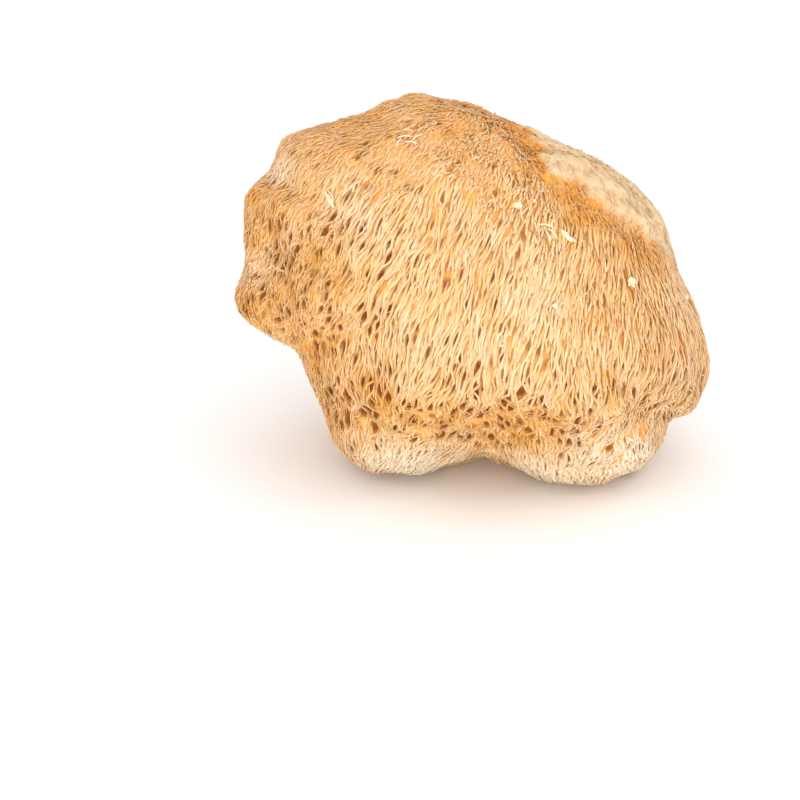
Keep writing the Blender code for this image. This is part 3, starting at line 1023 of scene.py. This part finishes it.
def build_spines(material, openings):
    """The spines, as one piece for each side of the head."""
    draw = np.random.default_rng(SEED)
    ways = scattered_ways(ROOTS_TRIED, SEED)
    roots = body_points(ways)
    felt, mat = felt_share(roots), matted(roots)
    rooted = (roots[:, 2] > ROOTS_ABOVE) & (felt > draw.uniform(*ROOTS_FROM_FELT, len(ways)))
    share_kept = KEPT_WHERE_COMBED + (1.0 - KEPT_WHERE_COMBED) * mat
    rooted &= draw.uniform(0.0, 1.0, len(ways)) < share_kept
    ways, roots, felt, mat = ways[rooted], roots[rooted], felt[rooted], mat[rooted]
    count = len(ways)
    grown = smoothstep(*GROWN, felt)
    at_felt = SHORT_AT_FELT + (1.0 - SHORT_AT_FELT) * grown
    standing, tangle, normals = end_on(roots), tangled(roots), body_normals(ways)
    downward = smoothstep(*UNDERSIDE, -normals[:, 2])
    slant = np.linalg.norm(np.cross(unit(roots - HANG_FROM), normals), axis=1)

    length = SPINE_LENGTH * (1.0 + draw.uniform(-LENGTH_VARIES, LENGTH_VARIES, count)) * at_felt
    length *= (1.0 - END_ON_SHORTENS * standing) * (1.0 - UNDERSIDE_SHORTENS * downward)
    length *= 1.0 - MAT_SHORTENS * mat
    length *= 1.0 - CROWN_SHORTENS * (1.0 - smoothstep(*CROWN_SLANTS, slant))
    own_height = draw.uniform(*OWN_HEIGHTS, count)
    height = TIP_HEIGHT * own_height * at_felt
    height *= (1.0 + END_ON_RAISES * standing) * (1.0 - MAT_LOWERS * mat)
    radius = THIN_RADIUS + (SPINE_RADIUS - THIN_RADIUS) * grown ** RADIUS_GROWS
    radius *= 1.0 + draw.uniform(-RADIUS_VARIES, RADIUS_VARIES, count)
    radius *= 1.0 - MAT_THINS * mat
    stray = STRAY * (1.0 + TANGLE_STRAYS * tangle + MAT_STRAYS * mat)
    wave = WAVE * (1.0 + TANGLE_WAVES * tangle + MAT_WAVES * mat)
    paths, normals = lay_strands(
        ways, length, height, stray, wave, WEAVE * grown, ROOT_DEPTH, RINGS, openings
    )

    middles = paths[:, RINGS // 2]
    # How high each point of a spine lies, for the painted shade that darkens roots and low ones
    high = own_height * (1.0 - MAT_DEEPENS_SHADE * mat) * (0.75 + 0.25 * grown)
    high = high[:, None] * risen(np.arange(RINGS + 1) / RINGS)
    # The painted shade of the openings, kept to the low parts of the spines
    shade = opening_shade_depth(paths.reshape(-1, 3), openings, STRAND_SHADE_SPREADS).reshape(count, -1)
    values = {
        "own": draw.uniform(0.0, 1.0, count),
        "stain_and_shade": stain_and_shade(middles),
        "pale": pale(middles),
        "opening_shade": shade * (1.0 - high).clip(0.0, 1.0),
        "high": high,
    }
    around = np.arctan2(roots[:, 1] - CENTRE[1], roots[:, 0] - CENTRE[0]) / math.tau
    sectors = np.floor(around * SPINE_PIECES).astype(int) % SPINE_PIECES
    for sector in range(SPINE_PIECES):
        mine = sectors == sector
        own_values = {key: value[mine] for key, value in values.items()}
        name = f"spines_{sector + 1}"
        piece = sweep(name, paths[mine], normals[mine], radius[mine], TAPER, SIDES, own_values)
        finish_piece(piece, material)


def build_fuzz(material):
    """Fine short fibres all over the felt."""
    draw = np.random.default_rng(SEED + 5)
    ways = scattered_ways(FUZZ_TRIED, SEED + 5)
    roots = body_points(ways)
    ways = ways[felt_share(roots) < draw.uniform(*FUZZ_UP_TO_FELT, len(ways))]
    count = len(ways)
    length = FUZZ_LENGTH * draw.uniform(*FUZZ_LENGTHS, count)
    height = FUZZ_HEIGHT * draw.uniform(*FUZZ_HEIGHTS, count)
    radius = FUZZ_RADIUS * draw.uniform(*FUZZ_RADII, count)
    stray = np.full(count, FUZZ_STRAY)
    rings = len(FUZZ_TAPER) - 1
    paths, normals = lay_strands(ways, length, height, stray, stray, 0.0, FUZZ_ROOT_DEPTH, rings)
    values = {"felt": np.ones(count), "stain_and_shade": stain_and_shade(paths[:, 1])}
    piece = sweep("felt_fibres", paths, normals, radius, FUZZ_TAPER, SIDES, values)
    finish_piece(piece, material)


def view_turned(normals, degrees):
    """Ways along the surface, turned from the viewer's right."""
    turn = np.radians(degrees)[:, None]
    ways = RIGHT * np.cos(turn) + UPWARD * np.sin(turn)
    return unit(ways - np.sum(ways * normals, axis=1, keepdims=True) * normals)


def build_crumbs(material):
    """Pale lumps that lie on the spines."""
    crumbs = np.array(CRUMBS)
    ways = ways_seen_at(crumbs[:, :2])
    normals = body_normals(ways)
    spots = body_points(ways) + normals * CRUMB_HEIGHT
    lengthwise = view_turned(normals, crumbs[:, 4])
    ball = bmesh.new()
    bmesh.ops.create_icosphere(ball, subdivisions=3, radius=1.0)
    sphere = np.array([vertex.co[:] for vertex in ball.verts])
    faces = np.array([[vertex.index for vertex in face.verts] for face in ball.faces])
    ball.free()
    points, all_faces = [], []
    for index, (spot, normal, along) in enumerate(zip(spots, normals, lengthwise)):
        length, width = crumbs[index, 2:4] * MM
        lumps = 0.22 * ripple(sphere, 1.3, CRUMB_FIELD + index)
        grains = 0.12 * ripple(sphere, 0.6, CRUMB_GRAIN_FIELD + index)
        shape = sphere * (1.0 + lumps + grains)[:, None]
        sideways, upward = np.cross(normal, along) * width, normal * width * CRUMB_THICKNESS
        points.append(spot + shape @ np.stack((along * length, sideways, upward)))
        all_faces.append(faces + index * len(sphere))
    mesh = bpy.data.meshes.new("crumbs")
    mesh.from_pydata(np.concatenate(points).tolist(), [], np.concatenate(all_faces).tolist())
    mesh.shade_smooth()
    finish_piece(add_object("crumbs", mesh), material)


def build_loose_fibres(material):
    """Pale bowed fibres that lie on the spines."""
    draw = np.random.default_rng(SEED + 7)
    fibres = np.array(LOOSE_FIBRES)
    ways = ways_seen_at(fibres[:, :2])
    middles, normals = body_points(ways), body_normals(ways)
    along = view_turned(normals, fibres[:, 3])
    rings = len(FIBRE_TAPER)
    share = np.linspace(-0.5, 0.5, rings)
    sideways = (np.cos(share * math.pi) * FIBRE_BOW)[:, None]
    bow = np.cross(normals, along)[:, None, :] * sideways
    paths = middles[:, None, :] + along[:, None, :] * (share * fibres[:, 2:3] * MM)[:, :, None] + bow
    paths += normals[:, None, :] * FIBRE_HEIGHT
    radius = draw.uniform(*FIBRE_RADII, len(fibres)) * MM
    normals = np.repeat(normals[:, None, :], rings, axis=1)
    piece = sweep("loose_fibres", paths, normals, radius, FIBRE_TAPER, FIBRE_SIDES, {})
    finish_piece(piece, material)


def build_stage():
    """A pale floor and soft light."""
    mesh = bpy.data.meshes.new("floor")
    corners = [(x * FLOOR_HALF, y * FLOOR_HALF, 0) for x, y in ((-1, -1), (1, -1), (1, 1), (-1, 1))]
    mesh.from_pydata(corners, [], [(0, 1, 2, 3)])
    floor = add_object("floor", mesh)
    paint = Paint("floor", 0.9)
    paint.colour((FLOOR_SHADE, FLOOR_SHADE, FLOOR_SHADE, 1.0))
    mesh.materials.append(paint.material)

    world = bpy.data.worlds.new("soft_light")
    bpy.context.scene.world = world
    world.use_nodes = True
    sky = world.node_tree.nodes["Background"]
    sky.inputs["Color"].default_value = (1.0, 1.0, 1.0, 1.0)
    sky.inputs["Strength"].default_value = SKY_STRENGTH
    for light in LIGHTS:
        add_light(*light)
    bpy.context.scene.view_settings.view_transform = "Standard"


def add_light(name, place, size, power):
    """A square lamp that faces the body's centre."""
    lamp = bpy.data.lights.new(name, "AREA")
    lamp.size = size
    lamp.energy = power
    aim(add_object(name, lamp), place, CENTRE)


def aim(thing, place, target):
    """Puts a lamp or the camera in its place, and turns it to the target."""
    thing.location = place
    thing.rotation_euler = Vector(target - np.array(place)).to_track_quat("-Z", "Y").to_euler()


def build_camera():
    """The photograph's view: the body's centre falls on CENTRE_PIXEL of the square picture."""
    data = bpy.data.cameras.new("camera")
    data.lens = data.sensor_width * CAMERA_DISTANCE / FRAME_WIDTH
    data.clip_start = 0.01
    camera = add_object("camera", data)
    right = (CENTRE_PIXEL[0] - FRAME_PIXELS / 2) * PIXEL
    up = (FRAME_PIXELS / 2 - CENTRE_PIXEL[1]) * PIXEL
    aim(camera, CENTRE + TO_VIEWER * CAMERA_DISTANCE, CENTRE - RIGHT * right - UPWARD * up)
    bpy.context.scene.camera = camera


def main():
    build_camera()
    build_stage()
    openings = place_openings()
    flesh = flesh_paint()
    build_flesh(flesh, openings)
    build_spines(spine_paint(), openings)
    build_fuzz(flesh)
    crumb = crumb_paint()
    build_crumbs(crumb)
    build_loose_fibres(crumb)


main()
